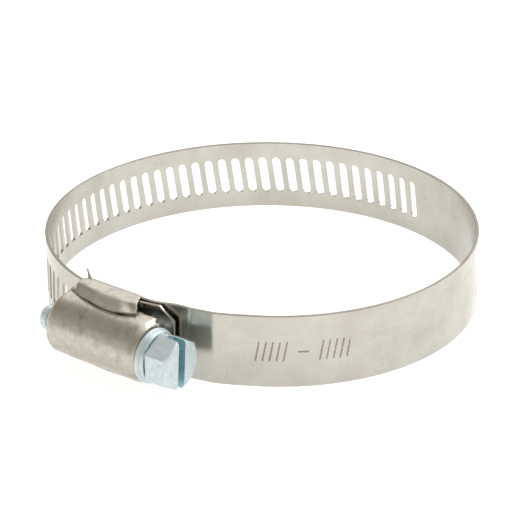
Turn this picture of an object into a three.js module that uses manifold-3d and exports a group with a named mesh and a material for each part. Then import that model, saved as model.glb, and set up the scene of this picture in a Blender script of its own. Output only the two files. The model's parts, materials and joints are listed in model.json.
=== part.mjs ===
// Worm-drive hose clamp with a perforated band, at its widest opening.
// Millimetres, +Z up. Lengths are laid out from the ring's middle, with the band's lower edge
// at zero height; at the end the clamp moves so that the origin is under its middle, level
// with its lowest face. The housing is on the -Y side and the screw's head is at +X.

import * as THREE from 'three';
import { mergeVertices } from 'three/addons/utils/BufferGeometryUtils.js';
import loadManifold from 'manifold-3d';

// ---------------------------------------------------------------- driving dimensions

const bandWidth = 12.7;
const bandThickness = 0.6;
const bandMiddle = bandWidth / 2;

// The slotted end runs through the housing on this circle, so it can be fed round it.
const feedCentre = new THREE.Vector2(-3, -2);
const feedRadius = 33.6;
const tipDirection = 289.6;
const feedEndDirection = 186;

// The rest of the ring, clockwise from the end of that circle, as arcs that run into each other.
const bandArcs = [
  { radius: feedRadius, sweep: 10 },
  { radius: 37.84, sweep: 81.6 },
  { radius: 35.94, sweep: 68.7 },
  { radius: 33.37, sweep: 87.7 },
];
// The plain end is bent to pass below the slotted tip, between it and the saddle.
const plainEnd = [
  new THREE.Vector2(17, -29.88),
  new THREE.Vector2(14.3, -31.12),
  new THREE.Vector2(10.1, -32.14),
  new THREE.Vector2(8, -32.28),
  new THREE.Vector2(6.5, -32.95),
  new THREE.Vector2(4.6, -33.75),
  new THREE.Vector2(3, -33.95),
  new THREE.Vector2(-5.5, -33.95),
];
// The corner where the plain end flexes, at the housing's mouth.
const mouthCorner = 4;

// Directions of the band's outward face where it flexes, in degrees.
const flexDirections = [184, 168, 130, 80, 52, 22];
const segmentGap = 0.3;

const slotPitch = 2.54;
const slotWidth = 1.5;
const slotLength = 6.8;
const firstSlot = 4.825;
const lastSlotDirection = 79;
const tipChamfer = 2.5;

const screwAxisY = -39;
const screwAxisZ = bandMiddle;
const threadRoot = 2.8;
const threadCrest = 3.7;
const threadCrestWidth = 0.5;
const threadRootWidth = 0.9;
const threadStart = -10;
const threadEnd = 6.4;
const neckRadius = 2.6;
const tipEnd = -14.95;
const collarStart = 7.9;
const collarRadius = 4.6;
const collarStep = 0.75;
const hexAcrossFlats = 8;
const hexStart = 9.4;
const headEnd = 14;
const headChamfer = 0.6;
const driveSlotWidth = 1.6;
const driveSlotDepth = 2.6;
const driveSlotAngle = 85;

const housingStart = -11.2;
const housingEnd = 7.6;
const housingWall = 0.7;
const barrelCentreY = -38.25;
const barrelRadius = 5.3;
const flangeInnerY = -36.2;
const flangeReach = 6.15;
const flangeStart = -10.6;
const flangeEnd = 2.2;
const lipOpening = 3;
const lipWidth = 0.7;

const saddleStart = -10;
const saddleEnd = 2;
const saddleInnerY = -32.65;
const saddleThickness = 0.5;
const earWall = 0.55;
const earClearance = 0.2;
// Each ear slopes down over the barrel, from the end of its flat wall to its edge, as (Y, height).
const earSlope = [[-37, 7.1], [-38.3, 6.4], [-39.6, 6]];
const earSlopeUnderside = [[-39.6, 5.45], [-38.35, 5.8], [-37.1, 6.5]];

// ---------------------------------------------------------------- materials

function metal(colour, roughness, metalness) {
  return new THREE.MeshStandardMaterial({ color: colour, roughness, metalness });
}
const stainlessBand = () => metal(0xd0cdc4, 0.34, 0.95);
const stainlessHousing = () => metal(0xb5ab9b, 0.3, 0.95);
const zincScrew = () => metal(0xcfdcdf, 0.26, 0.95);

// ---------------------------------------------------------------- solids

const wasm = await loadManifold();
wasm.setup();
const { Manifold, Mesh: SolidMesh } = wasm;

function toSolid(geometry) {
  const bare = new THREE.BufferGeometry();
  bare.setAttribute('position', geometry.getAttribute('position'));
  if (geometry.index) bare.setIndex(geometry.index);
  const welded = mergeVertices(bare, 1e-5);
  return new Manifold(new SolidMesh({
    numProp: 3,
    vertProperties: new Float32Array(welded.attributes.position.array),
    triVerts: new Uint32Array(welded.index.array),
  }));
}

function toGeometry(solid) {
  const mesh = solid.getMesh();
  const geometry = new THREE.BufferGeometry();
  geometry.setAttribute('position', new THREE.BufferAttribute(new Float32Array(mesh.vertProperties), 3));
  geometry.setIndex(new THREE.BufferAttribute(new Uint32Array(mesh.triVerts), 1));
  return geometry;
}

function smoothed(geometry) {
  const flat = geometry.toNonIndexed();
  flat.computeVertexNormals();
  return flat;
}

function makeNode(name, solid, material) {
  const mesh = new THREE.Mesh(smoothed(toGeometry(solid)), material);
  mesh.name = name;
  return mesh;
}

function extruded(points, depth) {
  return new THREE.ExtrudeGeometry(new THREE.Shape(points), {
    depth, bevelEnabled: false, curveSegments: 8,
  });
}

// A section drawn in (Y, Z), pushed along X from one place to another.
function alongX(points, from, to) {
  const geometry = extruded(points, to - from);
  const basis = new THREE.Matrix4().makeBasis(
    new THREE.Vector3(0, 1, 0), new THREE.Vector3(0, 0, 1), new THREE.Vector3(1, 0, 0));
  geometry.applyMatrix4(basis);
  geometry.translate(from, 0, 0);
  return toSolid(geometry);
}

// A turned shape about the screw's axis, from a list of (X, radius) points.
function turned(profile, sides) {
  const geometry = new THREE.LatheGeometry(profile.map(([x, r]) => new THREE.Vector2(r, x)), sides);
  geometry.rotateZ(-Math.PI / 2);
  geometry.translate(0, screwAxisY, screwAxisZ);
  return toSolid(geometry);
}

function boxBetween(low, high) {
  const size = new THREE.Vector3().subVectors(high, low);
  const geometry = new THREE.BoxGeometry(size.x, size.y, size.z);
  geometry.translate((low.x + high.x) / 2, (low.y + high.y) / 2, (low.z + high.z) / 2);
  return toSolid(geometry);
}

function arcPoints(centreY, centreZ, radius, fromAngle, toAngle, steps) {
  const points = [];
  for (let i = 0; i <= steps; i++) {
    const angle = THREE.MathUtils.degToRad(fromAngle + (toAngle - fromAngle) * i / steps);
    points.push(new THREE.Vector2(centreY + radius * Math.cos(angle), centreZ + radius * Math.sin(angle)));
  }
  return points;
}

// ---------------------------------------------------------------- the band's centre line

function pointOn(centre, radius, direction) {
  const angle = THREE.MathUtils.degToRad(direction);
  return new THREE.Vector2(centre.x + radius * Math.cos(angle), centre.y + radius * Math.sin(angle));
}

// Each stretch knows its length and gives the place and the outward direction at a distance along it.
function arcStretch(centre, radius, from, to) {
  return {
    length: radius * THREE.MathUtils.degToRad(from - to),
    at(distance) {
      const direction = from - THREE.MathUtils.radToDeg(distance / radius);
      return { point: pointOn(centre, radius, direction), direction };
    },
    step: 2.1,
  };
}

function straightStretch(start, end) {
  const along = new THREE.Vector2().subVectors(end, start);
  const direction = THREE.MathUtils.radToDeg(Math.atan2(along.y, along.x)) + 90;
  return {
    length: along.length(),
    at(distance) {
      return { point: start.clone().lerp(end, distance / along.length()), direction };
    },
    step: along.length(),
  };
}

function bandStretches() {
  const stretches = [arcStretch(feedCentre, feedRadius, tipDirection, feedEndDirection)];
  let direction = feedEndDirection;
  let end = pointOn(feedCentre, feedRadius, direction);
  for (const arc of bandArcs) {
    const outward = pointOn(new THREE.Vector2(), arc.radius, direction);
    const centre = new THREE.Vector2().subVectors(end, outward);
    stretches.push(arcStretch(centre, arc.radius, direction, direction - arc.sweep));
    direction -= arc.sweep;
    end = pointOn(centre, arc.radius, direction);
  }
  for (const corner of plainEnd) {
    stretches.push(straightStretch(end, corner));
    end = corner;
  }
  let start = 0;
  for (const stretch of stretches) {
    stretch.start = start;
    start += stretch.length;
  }
  return stretches;
}

const stretches = bandStretches();
const bandLength = stretches.at(-1).start + stretches.at(-1).length;
const cornerCount = plainEnd.length;

function bandAt(station) {
  const stretch = stretches.findLast((one) => one.start <= station + 1e-9) ?? stretches[0];
  return stretch.at(station - stretch.start);
}

function stationAtDirection(direction) {
  const arcs = stretches.slice(1, -cornerCount);
  for (const arc of arcs) {
    const first = arc.at(0).direction;
    const last = arc.at(arc.length).direction;
    if (direction <= first && direction >= last) {
      return arc.start + arc.length * (first - direction) / (first - last);
    }
  }
  throw new Error('no such direction on the band');
}

const cornerStations = stretches.slice(-cornerCount).map((stretch) => stretch.start + stretch.length);
const lastSlot = firstSlot
  + slotPitch * Math.round((stationAtDirection(lastSlotDirection) - firstSlot) / slotPitch);

// A flexing place among the slots moves to the middle of the nearest web.
function onWeb(station) {
  if (station > lastSlot + slotPitch) return station;
  const first = firstSlot + slotPitch / 2;
  return first + slotPitch * Math.round((station - first) / slotPitch);
}

const flexStations = [
  ...flexDirections.map((direction) => onWeb(stationAtDirection(direction))),
  cornerStations[mouthCorner],
];

// ---------------------------------------------------------------- band pieces

function stationsBetween(from, to) {
  const list = [from];
  for (const stretch of stretches) {
    const low = Math.max(from, stretch.start);
    const high = Math.min(to, stretch.start + stretch.length);
    if (high - low < 1e-6) continue;
    const count = Math.max(1, Math.round((high - low) / stretch.step));
    for (let i = 1; i <= count; i++) list.push(low + (high - low) * i / count);
  }
  return list;
}

function sideAt(station, offset) {
  const { point, direction } = bandAt(station);
  const before = bandAt(Math.max(0, station - 1e-4)).direction;
  const middle = (direction + before) / 2;
  return pointOn(point, offset / Math.cos(THREE.MathUtils.degToRad((direction - before) / 2)), middle);
}

function strip(from, to) {
  const stations = stationsBetween(from, to);
  const outer = stations.map((station) => sideAt(station, bandThickness / 2));
  const inner = stations.map((station) => sideAt(station, -bandThickness / 2));
  return toSolid(extruded([...outer, ...inner.reverse()], bandWidth));
}

function slotCutter(station) {
  const half = slotLength / 2 - slotWidth / 2;
  const outline = [
    ...arcPoints(0, half, slotWidth / 2, 0, 180, 4),
    ...arcPoints(0, -half, slotWidth / 2, 180, 360, 4),
  ];
  const geometry = extruded(outline, 4 * bandThickness);
  const { point, direction } = bandAt(station);
  const angle = THREE.MathUtils.degToRad(direction);
  const outward = new THREE.Vector3(Math.cos(angle), Math.sin(angle), 0);
  const along = new THREE.Vector3(-outward.y, outward.x, 0);
  geometry.translate(0, 0, -2 * bandThickness);
  geometry.applyMatrix4(new THREE.Matrix4().makeBasis(along, new THREE.Vector3(0, 0, 1), outward));
  geometry.translate(point.x, point.y, bandMiddle);
  return toSolid(geometry);
}

function tipCutters() {
  const { point, direction } = bandAt(0);
  const angle = THREE.MathUtils.degToRad(direction);
  const outward = new THREE.Vector3(Math.cos(angle), Math.sin(angle), 0);
  const along = new THREE.Vector3(-outward.y, outward.x, 0);
  return [0, 1].map((atTop) => {
    const edge = atTop ? bandMiddle : -bandMiddle;
    const way = atTop ? 1 : -1;
    const corners = [
      new THREE.Vector2(-tipChamfer, edge),
      new THREE.Vector2(0, edge - way * tipChamfer),
      new THREE.Vector2(2, edge - way * tipChamfer),
      new THREE.Vector2(2, edge + way),
      new THREE.Vector2(-tipChamfer, edge + way),
    ];
    const geometry = extruded(atTop ? corners.reverse() : corners, 12 * bandThickness);
    geometry.translate(0, 0, -6 * bandThickness);
    geometry.applyMatrix4(new THREE.Matrix4().makeBasis(along, new THREE.Vector3(0, 0, 1), outward));
    geometry.translate(point.x, point.y, bandMiddle);
    return toSolid(geometry);
  });
}

function bandPiece(from, to) {
  const cutters = [];
  for (let slot = firstSlot; slot < lastSlot + slotPitch / 2; slot += slotPitch) {
    if (slot > from && slot < to) cutters.push(slotCutter(slot));
  }
  if (from === 0) cutters.push(...tipCutters());
  let piece = strip(from, to);
  if (cutters.length > 0) piece = piece.subtract(Manifold.union(cutters));
  return piece;
}

function bandNodes() {
  const names = [
    'band_slotted_feed',
    ...flexDirections.map((direction, index) => `band_segment_${index + 1}`),
    'band_plain_tongue',
  ];
  const edges = [0, ...flexStations, bandLength];
  return names.map((name, index) => {
    const from = index === 0 ? 0 : edges[index] + segmentGap / 2;
    const to = index === names.length - 1 ? bandLength : edges[index + 1] - segmentGap / 2;
    return makeNode(name, bandPiece(from, to), stainlessBand());
  });
}

// ---------------------------------------------------------------- worm screw

// How far the thread stands out at a distance from the middle of its ridge.
function ridge(distance) {
  const half = Math.abs(distance);
  const slope = (threadRootWidth - threadCrestWidth) / 2;
  const height = (threadCrestWidth / 2 + slope - half) / slope;
  return THREE.MathUtils.clamp(height, 0, 1);
}

// The slot nearest the middle of the housing sets where the ridge faces the band.
function ridgePhase() {
  const middle = feedRadius * THREE.MathUtils.degToRad(tipDirection - 270);
  const slot = firstSlot + slotPitch * Math.round((middle - firstSlot) / slotPitch);
  return bandAt(slot).point.x;
}

function threadedShaft() {
  const phase = ridgePhase();
  const sides = 28;
  const stepsPerTurn = 12;
  const rings = Math.round((threadEnd - threadStart) / slotPitch * stepsPerTurn);
  const runOut = slotPitch / 2;
  const positions = [];
  const triangles = [];
  for (let i = 0; i <= rings; i++) {
    const x = threadStart + (threadEnd - threadStart) * i / rings;
    const ends = THREE.MathUtils.clamp(Math.min(x - threadStart, threadEnd - x) / runOut, 0, 1);
    for (let j = 0; j < sides; j++) {
      const angle = 2 * Math.PI * j / sides;
      const turns = (x - phase) / slotPitch - j / sides;
      const distance = (turns - Math.round(turns)) * slotPitch;
      const radius = threadRoot + (threadCrest - threadRoot) * ridge(distance) * ends;
      positions.push(x, screwAxisY + radius * Math.cos(angle), screwAxisZ + radius * Math.sin(angle));
    }
  }
  for (let i = 0; i < rings; i++) {
    for (let j = 0; j < sides; j++) {
      const a = i * sides + j;
      const b = i * sides + (j + 1) % sides;
      triangles.push(a, b, a + sides, b, b + sides, a + sides);
    }
  }
  const startHub = positions.length / 3;
  positions.push(threadStart, screwAxisY, screwAxisZ);
  positions.push(threadEnd, screwAxisY, screwAxisZ);
  for (let j = 0; j < sides; j++) {
    const next = (j + 1) % sides;
    triangles.push(startHub, next, j);
    triangles.push(startHub + 1, rings * sides + j, rings * sides + next);
  }
  const geometry = new THREE.BufferGeometry();
  geometry.setAttribute('position', new THREE.BufferAttribute(new Float32Array(positions), 3));
  geometry.setIndex(triangles);
  return toSolid(geometry);
}

function hexHead() {
  const corner = hexAcrossFlats / 2 / Math.cos(Math.PI / 6);
  const points = [];
  for (let i = 0; i < 6; i++) {
    const angle = Math.PI / 3 * i + Math.PI / 6;
    points.push(new THREE.Vector2(screwAxisY + corner * Math.cos(angle), screwAxisZ + corner * Math.sin(angle)));
  }
  const hex = alongX(points, hexStart - 0.1, headEnd);
  const face = hexAcrossFlats / 2 - 0.15;
  const rounding = turned([
    [hexStart - 1, 0],
    [hexStart - 1, corner + 0.2],
    [headEnd - headChamfer, corner + 0.2],
    [headEnd, face],
    [headEnd, 0],
  ], 48);
  return hex.intersect(rounding);
}

function wormScrew() {
  const core = turned([
    [tipEnd, 0],
    [tipEnd, neckRadius - 0.4],
    [tipEnd + 0.4, neckRadius],
    [hexStart - 0.4, neckRadius],
    [hexStart - 0.4, 0],
  ], 28);
  const collar = turned([
    [collarStart, 0],
    [collarStart, collarRadius],
    [collarStart + collarStep, collarRadius],
    [collarStart + collarStep, collarRadius - 0.25],
    [hexStart, collarRadius - 0.25],
    [hexStart, 0],
  ], 48);
  const driveSlot = boxBetween(
    new THREE.Vector3(headEnd - driveSlotDepth, screwAxisY - 6, screwAxisZ - driveSlotWidth / 2),
    new THREE.Vector3(headEnd + 1, screwAxisY + 6, screwAxisZ + driveSlotWidth / 2));
  const turnedSlot = driveSlot
    .translate([0, -screwAxisY, -screwAxisZ])
    .rotate([driveSlotAngle, 0, 0])
    .translate([0, screwAxisY, screwAxisZ]);
  const whole = Manifold.union([core, threadedShaft(), collar, hexHead()]);
  return makeNode('worm_screw', whole.subtract(turnedSlot), zincScrew());
}

// ---------------------------------------------------------------- housing

function mirrored(points) {
  return points.map((point) => new THREE.Vector2(point.x, 2 * bandMiddle - point.y)).reverse();
}

// The barrel is a half tube over the screw. With flanges, its feet spread out under the ears.
function barrelSection(withFlanges) {
  const inside = barrelRadius - housingWall;
  const flangeOuterY = flangeInnerY - housingWall;
  const footY = flangeInnerY - (withFlanges ? 0 : 0.5);
  const outerFeet = withFlanges
    ? [
      new THREE.Vector2(flangeInnerY, bandMiddle + flangeReach),
      new THREE.Vector2(flangeOuterY, bandMiddle + flangeReach),
      new THREE.Vector2(flangeOuterY, bandMiddle + barrelRadius + 0.45),
      new THREE.Vector2(flangeOuterY - 0.45, bandMiddle + barrelRadius),
    ]
    : [new THREE.Vector2(footY, bandMiddle + barrelRadius)];
  const innerFeet = [new THREE.Vector2(footY, bandMiddle + inside)];
  return [
    ...outerFeet,
    ...arcPoints(barrelCentreY, bandMiddle, barrelRadius, 90, 270, 22),
    ...mirrored(outerFeet),
    ...mirrored(innerFeet),
    ...arcPoints(barrelCentreY, bandMiddle, inside, 270, 90, 22),
    ...innerFeet,
  ];
}

// A half-round lip at each end of the barrel keeps the screw from sliding out.
function lip(from, to) {
  const section = [
    ...arcPoints(barrelCentreY, bandMiddle, barrelRadius - 0.2, 90, 270, 22),
    ...arcPoints(screwAxisY, screwAxisZ, lipOpening, 270, 90, 16),
  ];
  return alongX(section, from, to);
}

function housing() {
  const barrel = alongX(barrelSection(false), housingStart, housingEnd);
  const flanged = alongX(barrelSection(true), flangeStart, flangeEnd);
  const lips = [lip(housingStart, housingStart + lipWidth), lip(housingEnd - lipWidth, housingEnd)];
  return makeNode('housing_barrel', Manifold.union([barrel, flanged, ...lips]), stainlessHousing());
}

// ---------------------------------------------------------------- saddle

// A U-shaped plate inside both band ends, whose ears are folded over the housing's flanges.
function saddle() {
  const wallInside = bandMiddle + bandMiddle + earClearance;
  const wallOutside = wallInside + earWall;
  const plateOuterY = saddleInnerY - saddleThickness;
  const bend = 0.5;
  const sloping = ([y, height]) => new THREE.Vector2(y, bandMiddle + height);
  const side = [
    new THREE.Vector2(saddleInnerY, wallOutside - bend),
    new THREE.Vector2(saddleInnerY - bend, wallOutside),
    ...earSlope.map(sloping),
    ...earSlopeUnderside.map(sloping),
    new THREE.Vector2(plateOuterY, wallInside),
  ];
  const solid = alongX([...side, ...mirrored(side)], saddleStart, saddleEnd);
  return makeNode('saddle', solid, stainlessHousing());
}

// ---------------------------------------------------------------- assembly

const clamp = new THREE.Group();
const fixedParts = new THREE.Group();
fixedParts.add(housing());
fixedParts.add(saddle());
clamp.add(fixedParts);
clamp.add(wormScrew());
const band = new THREE.Group();
for (const node of bandNodes()) band.add(node);
clamp.add(band);

// The origin is under the middle of the whole clamp, level with its lowest face.
const bounds = new THREE.Box3().setFromObject(clamp);
const middle = bounds.getCenter(new THREE.Vector3());
clamp.position.set(-middle.x, -middle.y, -bounds.min.z);

export default clamp;
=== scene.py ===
"""Looks of a worm-drive hose clamp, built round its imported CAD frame. Lengths are in millimetres
from the ring's middle and the band's lower edge, and place() turns them into the row frame."""
import json
import math

import bmesh
import bpy
from mathutils import Matrix, Vector


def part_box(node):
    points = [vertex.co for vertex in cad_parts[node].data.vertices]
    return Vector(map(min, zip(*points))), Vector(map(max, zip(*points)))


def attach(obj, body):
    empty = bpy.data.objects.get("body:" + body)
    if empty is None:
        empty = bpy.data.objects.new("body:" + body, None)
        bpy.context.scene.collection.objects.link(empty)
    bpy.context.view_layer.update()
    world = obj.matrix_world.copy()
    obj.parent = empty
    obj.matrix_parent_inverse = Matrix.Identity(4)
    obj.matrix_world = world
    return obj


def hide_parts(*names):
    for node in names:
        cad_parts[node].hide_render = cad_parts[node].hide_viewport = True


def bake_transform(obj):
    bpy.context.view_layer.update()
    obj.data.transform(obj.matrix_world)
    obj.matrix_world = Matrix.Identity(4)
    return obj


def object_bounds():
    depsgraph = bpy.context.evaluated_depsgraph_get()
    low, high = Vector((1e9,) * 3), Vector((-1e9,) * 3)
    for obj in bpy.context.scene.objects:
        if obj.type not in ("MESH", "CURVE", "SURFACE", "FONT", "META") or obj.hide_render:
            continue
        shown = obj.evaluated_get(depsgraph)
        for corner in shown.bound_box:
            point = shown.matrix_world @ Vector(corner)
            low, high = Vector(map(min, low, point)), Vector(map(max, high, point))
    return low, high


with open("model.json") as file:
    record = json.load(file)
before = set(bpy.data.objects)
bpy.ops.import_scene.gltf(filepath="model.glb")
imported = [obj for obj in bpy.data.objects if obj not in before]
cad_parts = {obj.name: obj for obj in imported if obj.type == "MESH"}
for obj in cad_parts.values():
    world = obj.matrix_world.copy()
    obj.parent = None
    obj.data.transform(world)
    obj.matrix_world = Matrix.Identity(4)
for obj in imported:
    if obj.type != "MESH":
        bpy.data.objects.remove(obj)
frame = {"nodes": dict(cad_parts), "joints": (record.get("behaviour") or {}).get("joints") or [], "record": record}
cad_low, cad_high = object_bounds()
joints = {joint["name"]: joint for joint in frame["joints"]}

# ---- driving dimensions

MM = 0.001
FEED_CENTRE = (-3.0, -2.0)
FEED_RADIUS = 33.6
TIP_DIRECTION = 289.6
FEED_END_DIRECTION = 186.0
BAND_ARCS = [(FEED_RADIUS, 10.0), (37.84, 81.6), (35.94, 68.7), (33.37, 87.7)]
PLAIN_END = [(17, -29.95), (14.3, -31.25), (10.1, -32.25), (8, -32.3), (6.5, -32.95),
             (4.6, -33.75), (3, -33.95), (-5.5, -33.95)]
CORNER_SOFTNESS = 0.45
MOUTH_SOFTNESS = 1.5
BAND_WIDTH = 12.7
BAND_THICKNESS = 0.6
BAND_MIDDLE = BAND_WIDTH / 2
SLOT_PITCH = 2.54
SLOT_WIDTH = 1.5
SLOT_LENGTH = 6.8
SLOT_LEAN = -0.13
FIRST_SLOT = 4.825
SLOT_COUNT = 50
TIP_CHAMFER = 2.5
EDGE_ROUND = 0.09
LAST_SLOT = FIRST_SLOT + SLOT_PITCH * (SLOT_COUNT - 1)

SCREW_Y = -39.0
SCREW_Z = BAND_MIDDLE
HOUSING_START = -11.2
HOUSING_END = 7.6
WALL = 0.7
BARREL_Y = -38.25
BARREL_RADIUS = 5.3

feed_pivot = Vector(joints["band_travel"]["pos_m"])
ORIGIN = Vector((
    feed_pivot.x - FEED_CENTRE[0] * MM,
    feed_pivot.y - FEED_CENTRE[1] * MM,
    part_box("band_slotted_feed")[0].z,
))


def place(x, y, z):
    """A point in millimetres from the ring's middle, as metres in the row frame."""
    return ORIGIN + Vector((x, y, z)) * MM


def held(value):
    """The value, kept between 0 and 1."""
    return min(1.0, max(0.0, value))


def ramp(value, low, high):
    """0 below low and 1 above high, with a smooth turn between."""
    t = held((value - low) / (high - low))
    return t * t * (3 - 2 * t)


def add_object(name, data):
    made = bpy.data.objects.new(name, data)
    bpy.context.scene.collection.objects.link(made)
    return made


def mesh_data(name, mesh):
    """Mesh data made from a finished bmesh, which is freed."""
    data = bpy.data.meshes.new(name)
    mesh.to_mesh(data)
    mesh.free()
    return data


# ---- node trees

class Nodes:
    """Short calls for building a node tree. An input is a constant or another node's output."""

    def __init__(self, tree):
        self.tree = tree

    def feed(self, socket, value):
        if isinstance(value, bpy.types.NodeSocket):
            self.tree.links.new(value, socket)
        else:
            socket.default_value = value

    def add(self, kind, inputs=None, **settings):
        node = self.tree.nodes.new(kind)
        for key, value in settings.items():
            setattr(node, key, value)
        for key, value in (inputs or {}).items():
            self.feed(node.inputs[key], value)
        return node

    def coordinates(self, source, scale):
        vector = self.add("ShaderNodeTexCoord").outputs[source]
        return self.add("ShaderNodeMapping", {"Vector": vector, "Scale": scale}).outputs["Vector"]

    def noise(self, vector, scale, detail, roughness=0.55):
        return self.add("ShaderNodeTexNoise", {
            "Vector": vector, "Scale": scale, "Detail": detail, "Roughness": roughness,
        }).outputs["Fac"]

    def cells(self, vector, scale):
        return self.add("ShaderNodeTexVoronoi",
                        {"Vector": vector, "Scale": scale}).outputs["Distance"]

    def remap(self, value, source, target=(0.0, 1.0), **settings):
        """The value with the source range stretched over the target range, and held there."""
        return self.add("ShaderNodeMapRange", {
            "Value": value, "From Min": source[0], "From Max": source[1],
            "To Min": target[0], "To Max": target[1],
        }, **settings).outputs["Result"]

    def math(self, operation, first, second):
        return self.add("ShaderNodeMath", {0: first, 1: second}, operation=operation).outputs[0]

    def mix(self, factor, *colours, **settings):
        """The first colour turning into the second as the factor goes from 0 to 1."""
        first, second = ((*c, 1) if isinstance(c, tuple) else c for c in colours)
        return self.add("ShaderNodeMix", {0: factor, 6: first, 7: second}, data_type="RGBA",
                        **settings).outputs[2]

    def bump(self, height, distance, strength):
        return self.add("ShaderNodeBump", {
            "Height": height, "Distance": distance, "Strength": strength,
        }).outputs["Normal"]


def shaded(name):
    """A new material, the calls for its node tree, and its shader's inputs."""
    material = bpy.data.materials.new(name)
    material.use_nodes = True
    tree = material.node_tree
    return material, Nodes(tree), tree.nodes["Principled BSDF"].inputs


# ---- camera, light and floor

CAMERA_AZIMUTH = 38.37
CAMERA_ELEVATION = 26.07
CAMERA_DISTANCE = 420.7
CAMERA_TARGET = (-0.285, 0.609, 4.404)
CAMERA_ROLL = -0.696
FOCAL_PIXELS = 2423.7
IMAGE_PIXELS = 530
SENSOR_WIDTH = 36.0
CLIP_START, CLIP_END = 0.01, 10


def make_camera():
    azimuth, elevation = math.radians(CAMERA_AZIMUTH), math.radians(CAMERA_ELEVATION)
    back = Vector((
        math.sin(azimuth) * math.cos(elevation),
        -math.cos(azimuth) * math.cos(elevation),
        math.sin(elevation),
    ))
    right = Vector((math.cos(azimuth), math.sin(azimuth), 0))
    up = back.cross(right)
    turn = Matrix.Rotation(math.radians(CAMERA_ROLL), 3, back)
    data = bpy.data.cameras.new("camera")
    data.sensor_width = SENSOR_WIDTH
    data.lens = FOCAL_PIXELS * SENSOR_WIDTH / IMAGE_PIXELS
    data.clip_start, data.clip_end = CLIP_START, CLIP_END
    camera = add_object("camera", data)
    axes = Matrix((turn @ right, turn @ up, back)).transposed()
    camera.matrix_world = Matrix.Translation(
        place(*CAMERA_TARGET) + back * CAMERA_DISTANCE * MM) @ axes.to_4x4()
    bpy.context.scene.camera = camera


def area_light(name, direction, distance, size, power):
    """A white rectangular light that faces the middle of the ring."""
    data = bpy.data.lights.new(name, "AREA")
    data.shape = "RECTANGLE"
    data.size, data.size_y = size
    data.energy = power
    light = add_object(name, data)
    aim = Vector(direction).normalized()
    light.location = place(0, 0, 0) + aim * distance
    light.rotation_mode = "QUATERNION"
    light.rotation_quaternion = (-aim).to_track_quat("-Z", "Y")


# Height of the direction looked in, grey level there, and its warmth (1 is neutral).
ROOM_STEPS = [(0.0, 0.78, 0.985), (0.34, 0.68, 0.985), (0.52, 0.47, 0.86), (0.86, 0.43, 0.86),
              (0.95, 0.7, 0.985)]
BACK_PANEL = Vector((0.0, 0.75, 0.66)).normalized()
BACK_PANEL_EDGE, BACK_PANEL_FULL = 0.64, 0.72
BACK_PANEL_LEVEL = 1.4


def make_world():
    """A light room: bright near the horizon, a darker zone above it, pale overhead, and one
    bright panel at the back."""
    world = bpy.data.worlds.new("studio")
    bpy.context.scene.world = world
    world.use_nodes = True
    world.node_tree.nodes.clear()
    made = Nodes(world.node_tree)
    direction = made.add("ShaderNodeTexCoord").outputs["Generated"]
    height = made.add("ShaderNodeSeparateXYZ", {0: direction}).outputs["Z"]
    room = made.add("ShaderNodeValToRGB", {0: height})
    bands = room.color_ramp
    bands.interpolation = "EASE"
    while len(bands.elements) < len(ROOM_STEPS):
        bands.elements.new(0.5)
    for element, (position, level, warmth) in zip(bands.elements, ROOM_STEPS):
        element.position = position
        element.color = (level, level * (1 + warmth) / 2, level * warmth, 1)
    nearness = made.add("ShaderNodeVectorMath", {0: direction, 1: BACK_PANEL},
                        operation="DOT_PRODUCT").outputs["Value"]
    panel = made.remap(nearness, (BACK_PANEL_EDGE, BACK_PANEL_FULL), (0.0, BACK_PANEL_LEVEL),
                       interpolation_type="SMOOTHSTEP")
    lit = made.mix(1.0, room.outputs[0], panel, blend_type="LIGHTEN")
    background = made.add("ShaderNodeBackground", {"Color": lit, "Strength": 1.0})
    made.add("ShaderNodeOutputWorld", {"Surface": background.outputs[0]})


FLOOR_HALF = 3.0
FLOOR_GAP = 0.05 * MM
FLOOR_GREY, FLOOR_GLOW = 0.45, 0.82


def make_floor():
    """A pale, glowing floor that the clamp stands on."""
    mesh = bmesh.new()
    mesh.faces.new([mesh.verts.new((x * FLOOR_HALF, y * FLOOR_HALF, cad_low.z - FLOOR_GAP))
                    for x, y in ((-1, -1), (1, -1), (1, 1), (-1, 1))])
    floor = add_object("floor", mesh_data("floor", mesh))
    material, _, inputs = shaded("floor_paper")
    for name, value in (("Base Color", (FLOOR_GREY, FLOOR_GREY, FLOOR_GREY, 1)),
                        ("Emission Color", (1, 1, 1, 1)), ("Emission Strength", FLOOR_GLOW),
                        ("Roughness", 0.9), ("Specular IOR Level", 0.1)):
        inputs[name].default_value = value
    floor.data.materials.append(material)


def make_studio():
    make_world()
    make_floor()
    area_light("back_softbox", direction=(0.25, 0.8, 0.9), distance=1.0, size=(1.0, 0.7),
               power=6)
    scene = bpy.context.scene
    scene.view_settings.view_transform = "Standard"
    scene.view_settings.look = "None"


# ---- materials

STEEL_METALLIC, ZINC_METALLIC = 1.0, 0.68
ROLLING_STRETCH = (0.6, 14.0, 14.0)
STEEL_SPECK, ZINC_FLECK = (0.09, 0.08, 0.07), (0.16, 0.20, 0.21)
SPOT_STRENGTH = 0.75
SCUFF_SHADE = 0.62
STEEL_RELIEF, ZINC_RELIEF = 0.01 * MM, 0.03 * MM


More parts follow.
